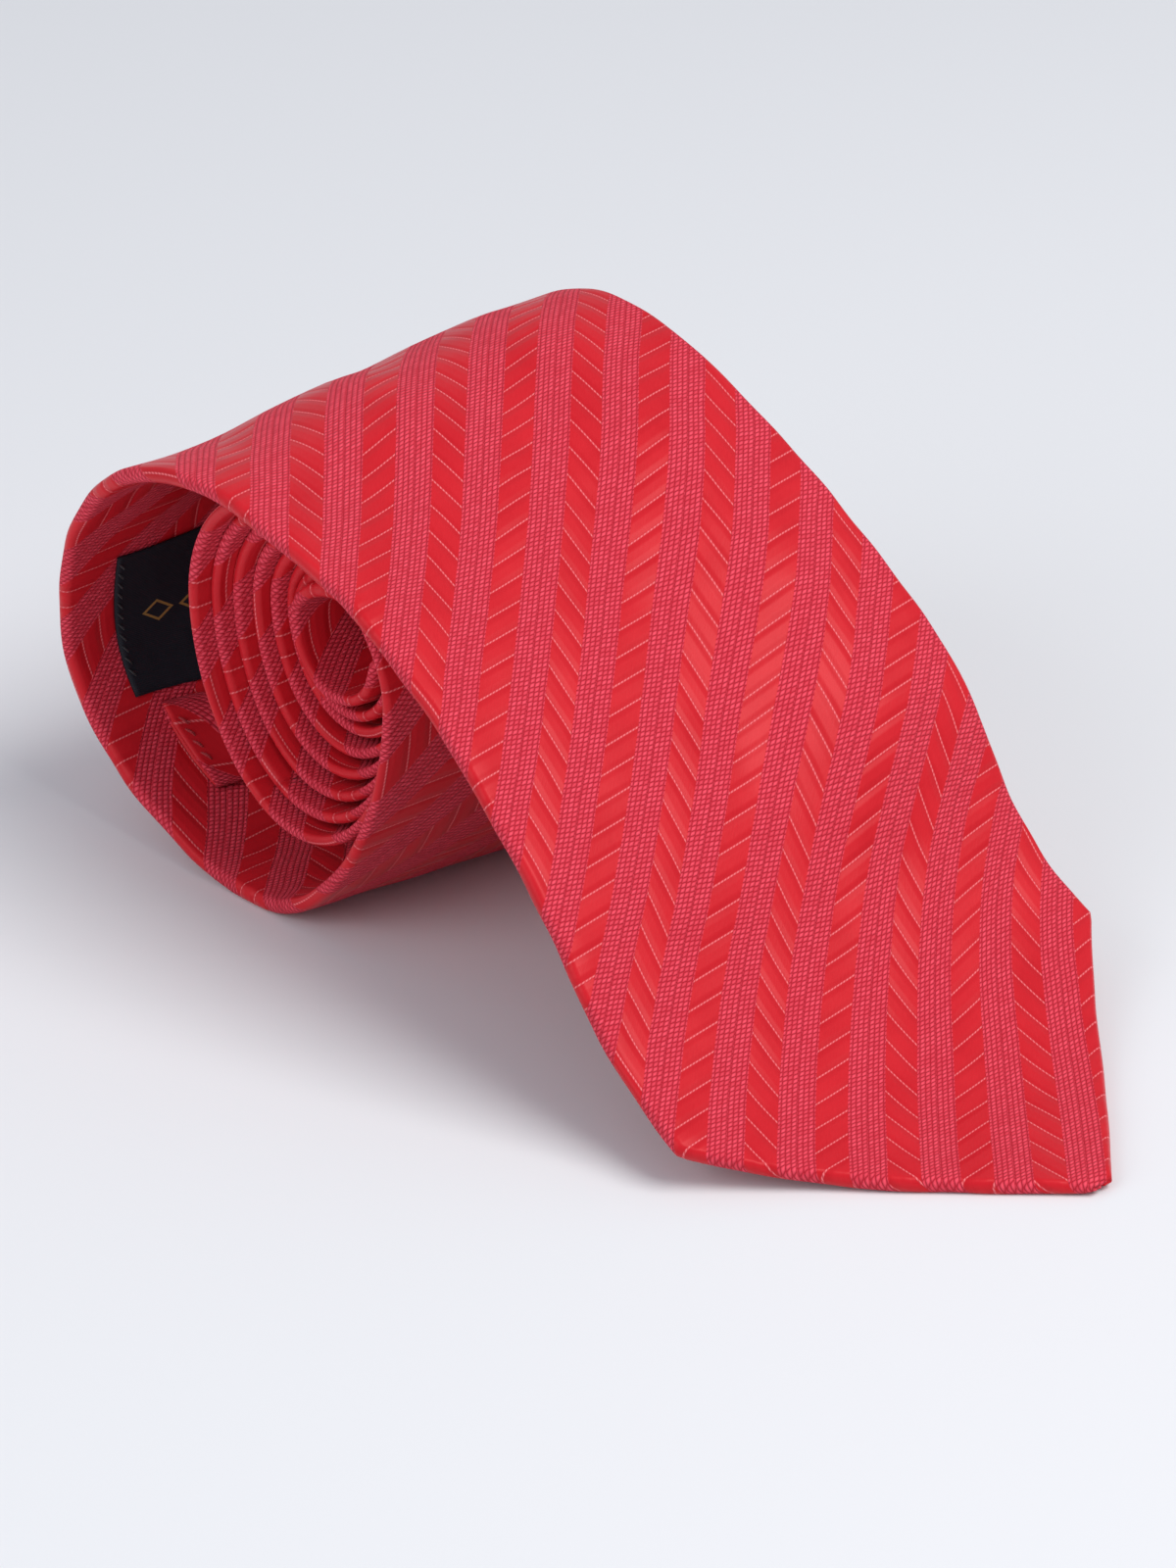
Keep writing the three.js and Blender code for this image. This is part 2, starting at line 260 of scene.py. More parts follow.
def on_roll(s, y, n):
    """Carries tie coordinates onto the roll.

    The middle line gives the place, its tangent turned a quarter gives the way through the
    cloth, and the skew slides each line across the tie along X in step with its Y.
    """
    x, z = (np.interp(s, PROFILE[:, 0], PROFILE[:, k]) for k in (1, 2))
    tx, tz = (np.interp(s, PROFILE[:, 0], TANGENT[:, k]) for k in (0, 1))
    crest = blend_step((s - CREST_S) / CREST_SPAN + 0.5)
    rest = blend_step((s - REST_S) / REST_SPAN + 0.5)
    skew = CREST_SKEW * crest + (COIL_SKEW - CREST_SKEW) * rest
    across = y + DRIFT * np.maximum(0, s - COIL_S)
    return settled(s, np.stack([x + skew * across + tz * n, across + 0 * x, z - tx * n], -1))


def settled(s, points):
    """Lets the even roll sag as cloth does, by a smooth shift of everything at one place alike.

    The near half of the crest droops and its back bellies out, the far half stands a little
    proud down to the foot, where the blade spreads, and the two corners of its point lift off
    the table.  Under the crest the near end of the coil springs up.
    """
    x, y, z = np.moveaxis(points, -1, 0)
    near = blend_step(-y / SAG_REACH)
    far = blend_step(y / SAG_REACH)
    high = blend_step((z - DROOP_FROM_Z) / DROOP_OVER_Z)
    behind = 1 - blend_step((x - DROOP_BACK_X) / DROOP_OVER_X)
    outer_turn = blend_step((COIL_S - s) / COIL_JOIN)
    raised = blend_step((z - RISE_FROM_Z) / RISE_OVER_Z)
    before_foot = 1 - blend_step((x - RISE_FRONT_X) / RISE_OVER_X)
    foot = blend_step((FOOT_END_S - s) / FOOT_OVER_S) * blend_step(s / (BLADE_WIDTH / 2))
    corners = NEAR_CORNER_LIFT * blend_step(-2 * y / BLADE_WIDTH)
    corners = corners + FAR_CORNER_LIFT * blend_step(2 * y / BLADE_WIDTH)
    droop = NEAR_DROOP * high * near * behind * outer_turn
    coil_top = blend_step((z - COIL_RISE_FROM_Z) / COIL_RISE_OVER_Z) * (1 - outer_turn)
    coil_top = coil_top * (1 - blend_step((x - COIL_RISE_BACK_X) / COIL_RISE_OVER_X))
    lift = foot * corners + FAR_RISE * raised * far * before_foot - droop
    lift = lift + COIL_RISE * near * coil_top
    low = blend_step(z / LOW_BELLY_RISE_Z) * (1 - blend_step((z - LOW_BELLY_TOP_Z) / LOW_BELLY_OVER_Z))
    back = blend_step((BELLY_X - x) / BELLY_OVER_X)
    belly = (BELLY + LOW_BELLY * low * outer_turn) * near * back
    bulge = blend_step((s - BULGE_FROM_S) / BULGE_RISE_S) - blend_step((s - BULGE_TO_S) / BULGE_OVER_S)
    bulge = FAR_BULGE * far * np.maximum(bulge, 0)
    corner = blend_step((CORNER_PULL_END_S - s) / CORNER_PULL_OVER_S)
    corner = corner * blend_step(2 * s / BLADE_WIDTH)
    pull = FAR_CORNER_PULL * corner * blend_step(2 * y / BLADE_WIDTH)
    spread = 1 + FOOT_SPREAD * blend_step((FOOT_END_S - s) / FOOT_OVER_S)
    return np.stack([x - belly - pull + bulge, y * spread, z + lift + BULGE_LIFT * bulge], -1)


def ripple(a, b, seed):
    """Slow unevenness of cloth: a sum of sine waves of several lengths and slants, within 1."""
    draw = np.random.default_rng(seed)
    total = 0 * a + 0 * b
    for length in RIPPLE_LENGTHS:
        slant, phase = draw.uniform(0, 2 * np.pi, 2)
        total = total + np.sin(
            2 * np.pi * (a * np.cos(slant) + b * np.sin(slant)) / length + phase
        )
    return total / len(RIPPLE_LENGTHS)


def thickness(s):
    """Whole thickness: loose on the hanging blade, pressed on the roll, closed at both points."""
    press = blend_step((s - PRESS_START) / (PRESS_END - PRESS_START))
    thick = THICK_FREE + (THICK_ROLLED - THICK_FREE) * press
    from_end = np.minimum(s, END_S - s) - POINT_START
    closing = np.sqrt(1 - (1 - np.clip(from_end / POINT_ROUND, 0, 1)) ** 2)
    return POINT_THICK + (thick - POINT_THICK) * closing


def back_of(s):
    """Level of the tie's back side, under its middle surface."""
    return -thickness(s) / 2


def half_width(s):
    """Half the tie's width: the blade's taper, the neck, or the tail, cut by the two points."""
    blade = BLADE_WIDTH - TAPER * (s - BLADE_WIDTH / 2)
    opening = (s - END_S + TAIL_LENGTH) / (TAIL_LENGTH - TAIL_WIDTH / 2)
    tail = NECK_WIDTH + (TAIL_WIDTH - NECK_WIDTH) * np.clip(opening, 0, 1)
    body = np.maximum(np.maximum(NECK_WIDTH, blade), tail)
    points = np.minimum(2 * s, 2 * (END_S - s)) + POINT_BLUNT
    return np.minimum(body, points) / 2


def flap_edge(s):
    """How far from the middle each back flap ends: a V at both points, a narrow groove between."""
    blade_slope = (BLADE_WIDTH / 2 - HEM) / (BLADE_V_END - BLADE_WIDTH / 2)
    tail_slope = (TAIL_WIDTH / 2 - HEM) / (TAIL_V_LENGTH - TAIL_WIDTH / 2)
    v = np.maximum((BLADE_V_END - s) * blade_slope, (TAIL_V_LENGTH - END_S + s) * tail_slope)
    return np.maximum(GROOVE / 2, np.minimum(v, half_width(s) - HEM))


# ---------------- meshes ----------------
def grid_piece(name, points, uv, material, closed=False, capped=False):
    """A mesh from a grid of points (rows, columns, 3) in millimetres, with its UV in metres.

    Each square of the grid is one face; a closed grid also joins its last column to its first.
    A capped one is a flattened ring, whose two ends are filled by faces from each point of its
    upper half to the one below it.
    """
    rows, columns = points.shape[:2]
    i, j = np.meshgrid(
        np.arange(rows - 1), np.arange(columns if closed else columns - 1), indexing="ij"
    )
    k = (j + 1) % columns
    corners = np.stack(
        [i * columns + j, i * columns + k, (i + 1) * columns + k, (i + 1) * columns + j], -1
    ).reshape(-1, 4)
    if capped:
        upper = np.arange(columns // 2 - 1)
        below = columns - 1 - upper
        first = np.stack([upper + 1, upper, below, below - 1], -1)
        corners = np.concatenate([corners, first, first[:, ::-1] + (rows - 1) * columns])
    return mesh_piece(name, points.reshape(-1, 3), corners, uv.reshape(-1, 2), material)


def mesh_piece(name, points, corners, uv, material):
    """A smooth-shaded piece from points in millimetres, four corners per face and UV in metres."""
    mesh = bpy.data.meshes.new(name)
    mesh.vertices.add(len(points))
    mesh.loops.add(corners.size)
    mesh.polygons.add(len(corners))
    mesh.vertices.foreach_set("co", (points * MM).astype(np.float32).ravel())
    mesh.loops.foreach_set("vertex_index", corners.astype(np.int32).ravel())
    mesh.polygons.foreach_set("loop_start", np.arange(0, corners.size, 4, dtype=np.int32))
    layer = mesh.uv_layers.new(name=UV_NAME)
    layer.data.foreach_set("uv", uv[corners.ravel()].astype(np.float32).ravel())
    mesh.update(calc_edges=True)
    mesh.validate()
    mesh.shade_smooth()
    mesh.materials.append(material)
    piece = bpy.data.objects.new(name, mesh)
    bpy.context.scene.collection.objects.link(piece)
    return piece


def thicken(piece, thick, offset=-1.0):
    """Gives a one-sided sheet its thickness, inward from the side that its normals point to."""
    solid = piece.modifiers.new("thickness", "SOLIDIFY")
    solid.thickness = thick * MM
    solid.offset = offset
    return piece


UV_NAME = "cloth"
FACE_COLUMNS = 33
FOLD_COLUMNS = 9
FLAP_COLUMNS = 10


def folded_cloth(name, s, material):
    """The face cloth folded round the tie: right flap, right fold, face, left fold, left flap.

    Across the tie the outline is flat over the face, a half circle of half the thickness at each
    fold, and flat again over the back as far as the flap's edge.  The UV is the cloth unfolded:
    the outline's own length across, and s along.
    """
    s = s[:, None]
    half, w, edge = thickness(s) / 2, half_width(s), flap_edge(s)
    r = np.minimum(half, w / 2)
    edge = np.minimum(edge, w - r - FLAP_MARGIN)
    flat = w - r
    face = np.linspace(-1, 1, FACE_COLUMNS)[None, :]
    turn = np.linspace(0, np.pi, FOLD_COLUMNS)[None, 1:]
    back = np.linspace(0, 1, FLAP_COLUMNS)[None, 1:]
    fold_y = flat + r * np.sin(turn)
    fold_n = half * np.cos(turn)
    fold_u = flat + r * turn
    back_y = flat + (edge - flat) * back
    back_n = -half + 0 * back
    back_u = flat + np.pi * r + (flat - edge) * back
    right_y = np.concatenate([fold_y, back_y], 1)
    right_n = np.concatenate([fold_n, back_n], 1)
    right_u = np.concatenate([fold_u, back_u], 1)
    y = np.concatenate([-right_y[:, ::-1], flat * face, right_y], 1)
    n = np.concatenate([right_n[:, ::-1], half + 0 * flat * face, right_n], 1)
    u = np.concatenate([-right_u[:, ::-1], flat * face, right_u], 1)
    wide = np.clip(w / HEM - NARROW, 0, 1)
    swell = EDGE_SWELL * np.exp(-((w - np.abs(y)) / EDGE_SWELL_REACH) ** 2)
    n = n + swell * wide * np.sign(n) * np.minimum(1, np.abs(n) / half)
    along = s + 0 * y
    loose = wide * np.clip((COIL_S - s) / COIL_JOIN, COIL_CALM, 1)
    inside = blend_step((np.abs(u) - flat) / HEM)
    n = n + FACE_RIPPLE * loose * ripple(along, u, FACE_SEED) * (1 - inside)
    after_label = blend_step((s - LABEL_S[0]) / HELD_REACH + 1)
    held = after_label * blend_step((BAND_S[1] - s) / HELD_REACH + 1)
    flap = FLAP_RIPPLE * (1 - HELD_CALM * held) * loose
    n = n + flap * (ripple(along, u, FLAP_SEED) - FLAP_SINK) * inside
    y = y + EDGE_RIPPLE * loose * ripple(along, 0 * u, EDGE_SEED) * (y / w) ** 3
    points = on_roll(along, y, n)
    return grid_piece(name, points, np.stack([u, along], -1) * MM, material)


def flat_cut(s):
    """(width, length, area) in metres of the cut that folded_cloth folds between these s."""
    w = half_width(s)
    across = 4 * w + (np.pi - 4) * thickness(s) / 2 - 2 * flap_edge(s)
    area = ((across[1:] + across[:-1]) / 2 * np.diff(s)).sum()
    return across.max() * MM, (s[-1] - s[0]) * MM, area * MM * MM


# ---------------- materials ----------------
class Wire:
    """One output socket of a material's nodes; arithmetic on it adds Math nodes beside it."""

    def __init__(self, tree, socket=None):
        self.tree = tree
        self.socket = socket

    def make(self, kind, settings, inputs, output=0):
        """Adds any node: its settings first, then the values or links of its sockets."""
        node = self.tree.nodes.new(kind)
        for name, value in settings.items():
            setattr(node, name, value)
        for key, value in inputs.items():
            if isinstance(value, Wire):
                self.tree.links.new(value.socket, node.inputs[key])
            else:
                node.inputs[key].default_value = value
        return None if output is None else Wire(self.tree, node.outputs[output])

    def math(self, operation, *others):
        """This value and the others through one Math node."""
        values = dict(enumerate([self, *others]))
        return self.make("ShaderNodeMath", {"operation": operation}, values)

    def reflected(self, operation, other):
        """A Math node whose first value is the other one, for 1 - mask."""
        return self.make("ShaderNodeMath", {"operation": operation}, {0: other, 1: self})

    def __add__(self, other):
        return self.math("ADD", other)

    def __radd__(self, other):
        return self.reflected("ADD", other)

    def __sub__(self, other):
        return self.math("SUBTRACT", other)

    def __rsub__(self, other):
        return self.reflected("SUBTRACT", other)

    def __mul__(self, other):
        return self.math("MULTIPLY", other)

    def __rmul__(self, other):
        return self.reflected("MULTIPLY", other)

    def __truediv__(self, other):
        return self.math("DIVIDE", other)

    def __abs__(self):
        return self.math("ABSOLUTE")

    def near(self, zero, soft):
        """1 where this value is under zero, falling to 0 at zero + soft."""
        return self.make(
            "ShaderNodeMapRange",
            {"interpolation_type": "SMOOTHSTEP"},
            {"Value": self, "From Min": zero, "From Max": zero + soft, "To Min": 1.0, "To Max": 0.0},
        )

    def mixed(self, low, high):
        """Colour low where this value is 0 and high where it is 1."""
        return self.make(
            "ShaderNodeMix",
            {"data_type": "RGBA"},
            {"Factor": self, 6: low, 7: high},
            2,
        )

    def cloud(self, scale, detail=2.0):
        """A noise value from a vector wire."""
        return self.make(
            "ShaderNodeTexNoise", {}, {"Vector": self, "Scale": scale, "Detail": detail}
        )


def new_material(name):
    """An empty material and a wire to build its nodes from."""
    material = bpy.data.materials.new(name)
    material.use_nodes = True
    material.node_tree.nodes.clear()
    return material, Wire(material.node_tree)


def surface(start, colour, rough, bump, constants):
    """Ends a material: colour, roughness and normal on a Principled shader, the rest constant."""
    inputs = {"Base Color": colour, "Roughness": rough, **constants}
    if bump is not None:
        inputs["Normal"] = bump
    shader = start.make("ShaderNodeBsdfPrincipled", {}, inputs)
    start.make("ShaderNodeOutputMaterial", {}, {"Surface": shader}, None)


# the woven pattern, in millimetres of flat cloth
STRIPE_ANGLE = np.radians(42.5)
BAND_PITCH = 10.3                # one rib band and one satin band
BAND_START = 28.4                # a satin band's middle
SATIN_HALF = 2.4
SLASH_PITCH = 5.2
SLASH_LEAN = 1.11                # cotangent of the slash's angle to the stripe
SLASH_HALF = 0.07
SLASH_SOFT = 0.10
SLASH_DOT = 0.45                 # pitch of the dots that a slash is woven of
PUFF_REACH = 1.2                 # how far from a slash the satin still dips
ROW_PITCH = 0.78                 # rib rows
BRICK_PITCH = 0.86               # along a rib row
BRICK_LEAN = 0.7
RIB_HEIGHT = 0.24
SATIN_HEIGHT = 0.16
SLASH_DIP = 0.15
SLASH_RAISED = 0.07
SATIN_EDGE = 0.08                # half the width over which satin turns to rib
DOT_DEPTH = 0.4                  # how far a slash pales between its dots
KNOT_POWER = 0.7                 # under 1, a rib's knots have flat tops
KNOT_SHADE, KNOT_CHANCE = 0.62, 0.5
KNOT_LOW, KNOT_SPREAD = 0.75, 0.25
THREAD_ACROSS, THREAD_ALONG = 3.0, 0.35
THREAD_SCALE, THREAD_SHADE, THREAD_HEIGHT = 1.6, 0.5, 0.02
BROAD_SCALE, BROAD_SHADE = 0.09, 0.9
# DIP_SHADE is painted shade: the satin is painted darker where it dips beside each slash
SHADE_START, DIP_SHADE = -0.25, 0.22
RIB_ROUGH, SATIN_SMOOTH, SLASH_ROUGH = 0.66, 0.30, 0.2

SATIN = (0.66, 0.020, 0.030, 1)
# the deeper satin colour serves both the satin's own uneven tone and the painted shade in its dips
SATIN_DEEP_AND_SHADED = (0.50, 0.008, 0.016, 1)
# the rib's two colours are a painted lit top and a painted shaded groove for its knots
RIB_LIT_TOP = (0.88, 0.080, 0.125, 1)
RIB_SHADED_GAP = (0.46, 0.008, 0.022, 1)
SLASH = (0.90, 0.20, 0.22, 1)
SILK = {
    "Sheen Weight": 0.06,
    "Sheen Roughness": 0.35,
    "Sheen Tint": (1.0, 0.35, 0.4, 1),
    "Specular IOR Level": 0.3,
    "Specular Tint": (1.0, 0.4, 0.4, 1),
}


def silk_material(name):
    """Red silk: rib bands of offset bricks, and satin bands crossed by slashes that lean both ways.

    p runs across the stripes and q along them.  t is p measured from the nearest satin band's
    middle, and side is +1 or -1 for every other satin band.
    """
    material, start = new_material(name)
    u, v = cloth_place(start)
    p = v * np.sin(STRIPE_ANGLE) - u * np.cos(STRIPE_ANGLE)
    q = v * np.cos(STRIPE_ANGLE) + u * np.sin(STRIPE_ANGLE)
    band = (p - BAND_START) / BAND_PITCH + 0.5
    number = band.math("FLOOR")
    t = (band - number - 0.5) * BAND_PITCH
    side = (number * 0.5).math("FRACT") * 4 - 1
    satin = abs(t).near(SATIN_HALF - SATIN_EDGE, 2 * SATIN_EDGE)

    lean = (q + side * t * SLASH_LEAN) / SLASH_PITCH
    slash_gap = SLASH_PITCH * np.sin(np.arctan(1 / SLASH_LEAN))
    from_slash = abs(lean.math("FRACT") - 0.5) * slash_gap
    dots = (t * (2 * np.pi / SLASH_DOT)).math("SINE") * DOT_DEPTH + (1 - DOT_DEPTH)
    slash = from_slash.near(SLASH_HALF, SLASH_SOFT) * satin * dots
    dip = from_slash.near(0.0, PUFF_REACH)

    row = (t + BAND_PITCH / 2) / ROW_PITCH
    row_number = row.math("FLOOR")
    row_place = row - row_number - 0.5
    brick = q / BRICK_PITCH + row_number * 0.5 + row_place * BRICK_LEAN
    brick_number = brick.math("FLOOR")
    brick_place = brick - brick_number - 0.5
    across = 1 - (row_place * row_place) * 4
    along = 1 - (brick_place * brick_place) * 4
    cell = start.make(
        "ShaderNodeCombineXYZ", {}, {"X": row_number, "Y": brick_number, "Z": number}
    )
    chance = start.make("ShaderNodeTexWhiteNoise", {"noise_dimensions": "3D"}, {"Vector": cell})
    knot = (across * along).math("POWER", KNOT_POWER)

    flat = start.make("ShaderNodeCombineXYZ", {}, {"X": u, "Y": v})
    turned = start.make("ShaderNodeCombineXYZ", {}, {"X": p * THREAD_ACROSS, "Y": q * THREAD_ALONG})
    broad = flat.cloud(BROAD_SCALE)
    thread = turned.cloud(THREAD_SCALE)
    # painted shade: the rib is paler on its knots' tops and darker in the grooves between them,
    # following their height; the random tone per knot is the cloth's own
    rib_colour_painted_shade = (knot * (KNOT_SHADE + chance * KNOT_CHANCE)).mixed(RIB_SHADED_GAP, RIB_LIT_TOP)
    # the satin's tone varies at random with the cloth, and painted shade darkens it where it dips
    # beside each slash
    satin_tone_and_dip_shade = broad * BROAD_SHADE + thread * THREAD_SHADE + SHADE_START - dip * DIP_SHADE
    satin_colour = slash.mixed(satin_tone_and_dip_shade.mixed(SATIN_DEEP_AND_SHADED, SATIN), SLASH)
    colour = satin.mixed(rib_colour_painted_shade, satin_colour)
    rough = RIB_ROUGH - satin * SATIN_SMOOTH + slash * SLASH_ROUGH
    rib_height = (1 - satin) * knot * (KNOT_LOW + chance * KNOT_SPREAD) * RIB_HEIGHT
    satin_height = satin * (SATIN_HEIGHT - dip * SLASH_DIP + thread * THREAD_HEIGHT)
    height = rib_height + satin_height + slash * SLASH_RAISED
    bump = start.make(
        "ShaderNodeBump", {},
        {"Strength": 1.0, "Distance": MM, "Height": height},
    )
    surface(start, colour, rough, bump, SILK)
    return material


def cloth_place(start):
    """The flat cloth's own coordinates in millimetres: across the tie and along it."""
    uv = start.make("ShaderNodeUVMap", {"uv_map": UV_NAME}, {})
    across = start.make("ShaderNodeSeparateXYZ", {}, {"Vector": uv}, "X")
    along = start.make("ShaderNodeSeparateXYZ", {}, {"Vector": uv}, "Y")
    return across / MM, along / MM


WEAVE_SHARE = 0.6                # of the shade, the rest being unevenness
PLAIN_CLOUD = 0.9
PLAIN_BUMP = 0.6
PLAIN_RELIEF = 0.1


def plain_cloth(name, light, deep, rough, thread_pitch, constants=None):
    """A plain weave: two crossed sets of threads, a little uneven, in two shades."""
    material, start = new_material(name)
    u, v = cloth_place(start)
    warp = (u * (np.pi / thread_pitch)).math("SINE")
    weft = (v * (np.pi / thread_pitch)).math("SINE")
    weave = warp * weft * 0.5 + 0.5
    flat = start.make("ShaderNodeCombineXYZ", {}, {"X": u, "Y": v})
    uneven = flat.cloud(PLAIN_CLOUD)
    colour = (weave * WEAVE_SHARE + uneven * (1 - WEAVE_SHARE)).mixed(deep, light)
    bump = start.make(
        "ShaderNodeBump", {},
        {"Strength": PLAIN_BUMP, "Distance": PLAIN_RELIEF * MM, "Height": weave + uneven},
    )
    surface(start, colour, rough, bump, constants or {"Sheen Weight": 0.2})
    return material


LABEL_BLACK = (0.006, 0.007, 0.012, 1)
LABEL_GREY = (0.014, 0.015, 0.022, 1)
LABEL_GOLD = (0.30, 0.17, 0.05, 1)
MOTIF_PITCH = 6.4                # from one woven diamond to the next, across the tie
MOTIF_HALF_WIDTH = 2.4
MOTIF_HALF_HEIGHT = 1.9
MOTIF_LINE = 0.12                # half the line's width, as a share of the diamond
MOTIF_SOFT = 0.06
MOTIF_SPAN = 25.6                # the row ends this far from the tie's middle
LABEL_RIB = 0.35                 # pitch of the label's own ribs
LABEL_RIB_HEIGHT = 0.04
LABEL_CLOUD = 0.8
LABEL_BUMP = 0.7
LABEL_WAVE_SCALE, LABEL_WAVE = 0.15, 0.8
MOTIF_RAISED = 0.06
LABEL_ROUGH, GOLD_SMOOTH = 0.62, 0.2


def label_material(name):
    """Black woven label: fine ribs, and a row of plain gold diamonds that stand apart."""
    material, start = new_material(name)
    u, v = cloth_place(start)
    weave = (v * (2 * np.pi / LABEL_RIB)).math("SINE") * 0.5 + 0.5
    across = abs((u / MOTIF_PITCH).math("FRACT") - 0.5) * (MOTIF_PITCH / MOTIF_HALF_WIDTH)
    along = abs(v - sum(LABEL_S) / 2) / MOTIF_HALF_HEIGHT
    outline = abs(across + along - 1).near(MOTIF_LINE, MOTIF_SOFT)
    gold = outline * abs(u).near(MOTIF_SPAN, MOTIF_LINE)
    flat = start.make("ShaderNodeCombineXYZ", {}, {"X": u, "Y": v})
    shade = weave * WEAVE_SHARE + flat.cloud(LABEL_CLOUD) * (1 - WEAVE_SHARE)
    colour = gold.mixed(shade.mixed(LABEL_BLACK, LABEL_GREY), LABEL_GOLD)
    height = weave * LABEL_RIB_HEIGHT + gold * MOTIF_RAISED
    height = height + flat.cloud(LABEL_WAVE_SCALE) * LABEL_WAVE
    bump = start.make(
        "ShaderNodeBump", {},
        {"Strength": LABEL_BUMP, "Distance": MM, "Height": height},
    )
    surface(start, colour, LABEL_ROUGH - gold * GOLD_SMOOTH, bump, {"Specular IOR Level": 0.25})
    return material


silk = silk_material("red_silk")
tipping_cloth = plain_cloth(
    "red_tipping", (0.42, 0.012, 0.022, 1), (0.3, 0.006, 0.014, 1), 0.42, 0.25
)
wool = plain_cloth("cream_wool", (0.72, 0.66, 0.55, 1), (0.55, 0.49, 0.38, 1), 0.95, 0.6)
label_black = label_material("label_black")
black_thread = plain_cloth(
    "black_thread", (0.02, 0.02, 0.024, 1), (0.008, 0.008, 0.01, 1), 0.5, 0.2
)
red_thread = plain_cloth("red_thread", (0.45, 0.010, 0.02, 1), (0.3, 0.006, 0.012, 1), 0.5, 0.2)

# ---------------- the face cloth: three cuts joined by bias seams ----------------
BLADE_STEP = 1.2
NECK_STEP = 1.8


def stations(s0, s1, step):
    """Evenly spaced s from s0 to s1."""
    return np.linspace(s0, s1, int(round((s1 - s0) / step)) + 1)


blade_s = stations(POINT_START, BLADE_SEAM, BLADE_STEP)
neck_s = stations(BLADE_SEAM, TAIL_SEAM, NECK_STEP)
tail_s = stations(TAIL_SEAM, END_S - POINT_START, NECK_STEP)
blade_cloth = thicken(folded_cloth("blade_cloth", blade_s, silk), CLOTH)
neck_cloth = thicken(folded_cloth("neck_cloth", neck_s, silk), CLOTH)
tail_cloth = thicken(folded_cloth("tail_cloth", tail_s, silk), CLOTH)


def back_strip(name, s, y, material):
    """A flat strip lying just under the tie's back, s along and y across."""
    along, across = np.meshgrid(s, y, indexing="ij")
    points = on_roll(along, across, back_of(along) - BACK_GAP)
    return grid_piece(name, points, np.stack([across, along], -1) * MM, material)


LINING_COLUMNS = 17
LINING_CLEARANCE = 0.12
PAD_OVER_BACK = 0.4              # the interlining lies over the tipping
TIPPING_CLEARANCE = 0.1
TIPPING_THICK = 0.16
LINING_INSET = 6.0               # from a point to where the linings start
TIPPING_END = 165.0
PAD_STEP = 2.5
TIPPING_STEP = 2.0


def lining_half(s):
    """Half the width left for a lining between the two folded edges."""
    return half_width(s) - CLOTH - thickness(s) / 2 - LINING_CLEARANCE


def lining(name, s, low, high, material):
    """A slab inside the folded cloth, closed all round, from level low to level high."""
    s = s[:, None]
    side = lining_half(s) * np.linspace(-1, 1, LINING_COLUMNS)[None, :]
    across = np.concatenate([side, side[:, ::-1]], 1)
    n = np.concatenate([high(s) + 0 * side, low(s) + 0 * side], 1)
    along = s + 0 * across
    uv = np.stack([across, along], -1) * MM
    return grid_piece(name, on_roll(along, across, n), uv, material, closed=True, capped=True)


def lining_cut(s):
    """(width, length, area) in metres of a lining's flat cut between these s."""
    w = 2 * lining_half(s)
    area = ((w[1:] + w[:-1]) / 2 * np.diff(s)).sum()
    return w.max() * MM, (s[-1] - s[0]) * MM, area * MM * MM


def pad_low(s):
    """Underside of the interlining."""
    return CLOTH + PAD_OVER_BACK - thickness(s) / 2


def pad_high(s):
    """Top of the interlining, just under the face cloth."""
    return thickness(s) / 2 - CLOTH - LINING_CLEARANCE


def tip_low(s):
    """Underside of the tipping, just over the back flaps."""
    return CLOTH + TIPPING_CLEARANCE - thickness(s) / 2


def tip_high(s):
    """Top of the tipping."""
    return tip_low(s) + TIPPING_THICK


blade_pad_s = stations(LINING_INSET, BLADE_SEAM, PAD_STEP)
tail_pad_s = stations(BLADE_SEAM, END_S - LINING_INSET, PAD_STEP)
blade_tip_s = stations(LINING_INSET, TIPPING_END, TIPPING_STEP)
tail_tip_s = stations(END_S - TAIL_V_LENGTH - LINING_INSET, END_S - LINING_INSET, TIPPING_STEP)
blade_pad = lining("blade_interlining", blade_pad_s, pad_low, pad_high, wool)
tail_pad = lining("tail_interlining", tail_pad_s, pad_low, pad_high, wool)
blade_tip = lining("blade_tipping_cloth", blade_tip_s, tip_low, tip_high, tipping_cloth)
tail_tip = lining("tail_tipping_cloth", tail_tip_s, tip_low, tip_high, tipping_cloth)

# ---------------- label, keeper band and hand stitches ----------------
LABEL_STEP = 1.0
LABEL_COLUMNS = 61
BAND_COLUMNS = 61
BAND_RING = 40
BAND_PUFF = 0.5                  # extra half thickness midway along the band
BAND_EASE = 0.6                  # under 1, the tube's long sides are nearly straight
BAND_WANDER = 0.35
BAND_CREASE = 0.4
BAND_SEED, CREASE_SEED = 11, 13

label_s = stations(*LABEL_S, LABEL_STEP)
label_columns = np.linspace(LABEL_HALF, -LABEL_HALF, LABEL_COLUMNS)
label = thicken(
    back_strip("label_cloth", label_s, label_columns, label_black), LABEL_THICK, 1.0
)


